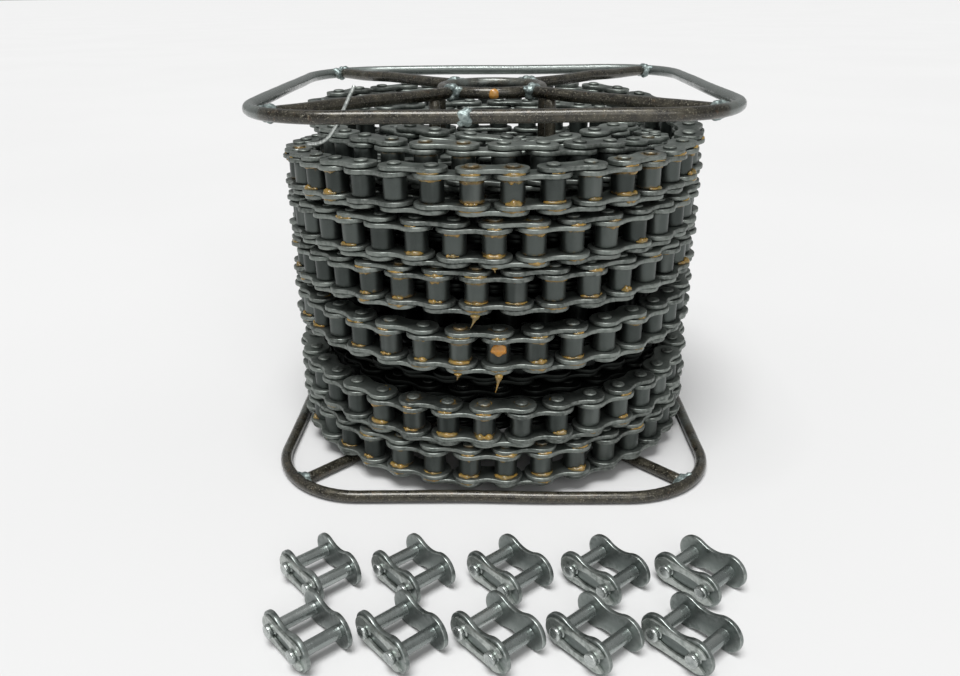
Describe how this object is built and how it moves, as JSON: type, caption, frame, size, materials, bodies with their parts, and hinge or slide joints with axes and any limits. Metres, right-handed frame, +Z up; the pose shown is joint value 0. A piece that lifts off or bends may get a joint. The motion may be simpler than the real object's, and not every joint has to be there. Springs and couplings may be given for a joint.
{
  "type": "roller chain",
  "caption": "Riveted roller chain wound flat on a welded rod reel, with a free articulated end and spare spring-clip connecting links.",
  "frame": {"origin": "on the winding axis of the reel, in the plane that the reel and the spare links stand on", "axes": "+Z up along the winding axis, -Y towards the front where the spare links lie, +X to the right"},
  "size_m": [0.1626, 0.2439, 0.1396],
  "materials": {
    "plate_steel": "oiled heat-treated steel",
    "roller_steel": "oiled steel, smoother than the plates",
    "pin_steel": "riveted ends",
    "bushing_steel": "oiled steel",
    "reel_rod": "oily oxidised wire rod",
    "weld": "grey-green weld metal",
    "galvanised_wire": "galvanised",
    "connecting_steel": "bright oiled steel",
    "clip_steel": "spring steel"
  },
  "bodies": {
    "reel": {"bottom_hub_ring": "reel_rod", "bottom_loop": "reel_rod", "bottom_spokes": "reel_rod", "core_rods": "reel_rod", "hub_wraps_bushings": "bushing_steel", "hub_wraps_inner_plates": "plate_steel", "hub_wraps_outer_plates": "plate_steel", "hub_wraps_pins": "pin_steel", "hub_wraps_rollers": "roller_steel", "outer_wrap_bushings": "bushing_steel", "outer_wrap_inner_plates": "plate_steel", "outer_wrap_outer_plates": "plate_steel", "outer_wrap_pins": "pin_steel", "outer_wrap_rollers": "roller_steel", "second_wrap_bushings": "bushing_steel", "second_wrap_inner_plates": "plate_steel", "second_wrap_outer_plates": "plate_steel", "second_wrap_pins": "pin_steel", "second_wrap_rollers": "roller_steel", "tie_wire": "galvanised_wire", "top_hub_ring": "reel_rod", "top_loop": "reel_rod", "top_spokes": "reel_rod", "weld_beads": "weld"},
    "free_inner_link_1": {"free_inner_link_1_plates": "plate_steel", "free_inner_link_1_bushings": "bushing_steel"},
    "free_inner_link_1_roller_a": {"free_inner_link_1_roller_a": "roller_steel"},
    "free_inner_link_1_roller_b": {"free_inner_link_1_roller_b": "roller_steel"},
    "free_outer_link_1": {"free_outer_link_1_plates": "plate_steel", "free_outer_link_1_pins": "pin_steel"},
    "free_inner_link_2": {"free_inner_link_2_plates": "plate_steel", "free_inner_link_2_bushings": "bushing_steel"},
    "free_inner_link_2_roller_a": {"free_inner_link_2_roller_a": "roller_steel"},
    "free_inner_link_2_roller_b": {"free_inner_link_2_roller_b": "roller_steel"},
    "free_outer_link_2": {"free_outer_link_2_plates": "plate_steel", "free_outer_link_2_pins": "pin_steel"},
    "free_inner_link_3": {"free_inner_link_3_plates": "plate_steel", "free_inner_link_3_bushings": "bushing_steel"},
    "free_inner_link_3_roller_a": {"free_inner_link_3_roller_a": "roller_steel"},
    "free_inner_link_3_roller_b": {"free_inner_link_3_roller_b": "roller_steel"},
    "free_outer_link_3": {"free_outer_link_3_plates": "plate_steel", "free_outer_link_3_pins": "pin_steel"},
    "free_inner_link_4": {"free_inner_link_4_plates": "plate_steel", "free_inner_link_4_bushings": "bushing_steel"},
    "free_inner_link_4_roller_a": {"free_inner_link_4_roller_a": "roller_steel"},
    "free_inner_link_4_roller_b": {"free_inner_link_4_roller_b": "roller_steel"},
    "free_outer_link_4": {"free_outer_link_4_plates": "plate_steel", "free_outer_link_4_pins": "pin_steel"},
    "connecting_link_01": {"connecting_link_01": "connecting_steel", "connecting_link_01_clip": "clip_steel"},
    "connecting_link_02": {"connecting_link_02": "connecting_steel", "connecting_link_02_clip": "clip_steel"},
    "connecting_link_03": {"connecting_link_03": "connecting_steel"},
    "connecting_link_04": {"connecting_link_04": "connecting_steel"},
    "connecting_link_05": {"connecting_link_05": "connecting_steel"},
    "connecting_link_06": {"connecting_link_06": "connecting_steel"},
    "connecting_link_07": {"connecting_link_07": "connecting_steel"},
    "connecting_link_08": {"connecting_link_08": "connecting_steel"},
    "connecting_link_09": {"connecting_link_09": "connecting_steel"},
    "connecting_link_10": {"connecting_link_10": "connecting_steel"}
  },
  "joints": [
    {"name": "chain_pivot_1", "type": "hinge", "parent": "reel", "child": "free_outer_link_4", "pos_m": [0.01012, 0.0732, 0.1206], "axis": [0, 0, 1], "range_deg": [-38, 0]},
    {"name": "chain_pivot_2", "type": "hinge", "parent": "free_outer_link_4", "child": "free_inner_link_4", "pos_m": [-0.00257, 0.07386, 0.1206], "axis": [0, 0, 1], "range_deg": [-38, 0]},
    {"name": "chain_pivot_3", "type": "hinge", "parent": "free_inner_link_4", "child": "free_outer_link_3", "pos_m": [-0.01517, 0.07233, 0.1206], "axis": [0, 0, 1], "range_deg": [-38, 0]},
    {"name": "chain_pivot_4", "type": "hinge", "parent": "free_outer_link_3", "child": "free_inner_link_3", "pos_m": [-0.02733, 0.06866, 0.1206], "axis": [0, 0, 1], "range_deg": [-38, 0]},
    {"name": "chain_pivot_5", "type": "hinge", "parent": "free_inner_link_3", "child": "free_outer_link_2", "pos_m": [-0.03868, 0.06297, 0.1206], "axis": [0, 0, 1], "range_deg": [-38, 0]},
    {"name": "chain_pivot_6", "type": "hinge", "parent": "free_outer_link_2", "child": "free_inner_link_2", "pos_m": [-0.04889, 0.05541, 0.1206], "axis": [0, 0, 1], "range_deg": [-38, 0]},
    {"name": "chain_pivot_7", "type": "hinge", "parent": "free_inner_link_2", "child": "free_outer_link_1", "pos_m": [-0.05766, 0.04622, 0.1206], "axis": [0, 0, 1], "range_deg": [-38, 0]},
    {"name": "chain_pivot_8", "type": "hinge", "parent": "free_outer_link_1", "child": "free_inner_link_1", "pos_m": [-0.06472, 0.03567, 0.1206], "axis": [0, 0, 1], "range_deg": [-38, 0]},
    {"name": "roller_spin_1_a", "type": "hinge", "parent": "free_inner_link_1", "child": "free_inner_link_1_roller_a", "pos_m": [-0.06472, 0.03567, 0.1206], "axis": [0, 0, 1], "continuous": true},
    {"name": "roller_spin_1_b", "type": "hinge", "parent": "free_inner_link_1", "child": "free_inner_link_1_roller_b", "pos_m": [-0.06987, 0.02406, 0.1206], "axis": [0, 0, 1], "continuous": true},
    {"name": "roller_spin_2_a", "type": "hinge", "parent": "free_inner_link_2", "child": "free_inner_link_2_roller_a", "pos_m": [-0.04889, 0.05541, 0.1206], "axis": [0, 0, 1], "continuous": true},
    {"name": "roller_spin_2_b", "type": "hinge", "parent": "free_inner_link_2", "child": "free_inner_link_2_roller_b", "pos_m": [-0.05766, 0.04622, 0.1206], "axis": [0, 0, 1], "continuous": true},
    {"name": "roller_spin_3_a", "type": "hinge", "parent": "free_inner_link_3", "child": "free_inner_link_3_roller_a", "pos_m": [-0.02733, 0.06866, 0.1206], "axis": [0, 0, 1], "continuous": true},
    {"name": "roller_spin_3_b", "type": "hinge", "parent": "free_inner_link_3", "child": "free_inner_link_3_roller_b", "pos_m": [-0.03868, 0.06297, 0.1206], "axis": [0, 0, 1], "continuous": true},
    {"name": "roller_spin_4_a", "type": "hinge", "parent": "free_inner_link_4", "child": "free_inner_link_4_roller_a", "pos_m": [-0.00257, 0.07386, 0.1206], "axis": [0, 0, 1], "continuous": true},
    {"name": "roller_spin_4_b", "type": "hinge", "parent": "free_inner_link_4", "child": "free_inner_link_4_roller_b", "pos_m": [-0.01517, 0.07233, 0.1206], "axis": [0, 0, 1], "continuous": true},
    {"name": "connecting_link_01_lift", "type": "slide", "parent": "reel", "child": "connecting_link_01", "axis": [0, 0, 1], "range_m": [0, 0.06]},
    {"name": "connecting_link_02_lift", "type": "slide", "parent": "reel", "child": "connecting_link_02", "axis": [0, 0, 1], "range_m": [0, 0.06]},
    {"name": "connecting_link_03_lift", "type": "slide", "parent": "reel", "child": "connecting_link_03", "axis": [0, 0, 1], "range_m": [0, 0.06]},
    {"name": "connecting_link_04_lift", "type": "slide", "parent": "reel", "child": "connecting_link_04", "axis": [0, 0, 1], "range_m": [0, 0.06]},
    {"name": "connecting_link_05_lift", "type": "slide", "parent": "reel", "child": "connecting_link_05", "axis": [0, 0, 1], "range_m": [0, 0.06]},
    {"name": "connecting_link_06_lift", "type": "slide", "parent": "reel", "child": "connecting_link_06", "axis": [0, 0, 1], "range_m": [0, 0.06]},
    {"name": "connecting_link_07_lift", "type": "slide", "parent": "reel", "child": "connecting_link_07", "axis": [0, 0, 1], "range_m": [0, 0.06]},
    {"name": "connecting_link_08_lift", "type": "slide", "parent": "reel", "child": "connecting_link_08", "axis": [0, 0, 1], "range_m": [0, 0.06]},
    {"name": "connecting_link_09_lift", "type": "slide", "parent": "reel", "child": "connecting_link_09", "axis": [0, 0, 1], "range_m": [0, 0.06]},
    {"name": "connecting_link_10_lift", "type": "slide", "parent": "reel", "child": "connecting_link_10", "axis": [0, 0, 1], "range_m": [0, 0.06]}
  ]
}
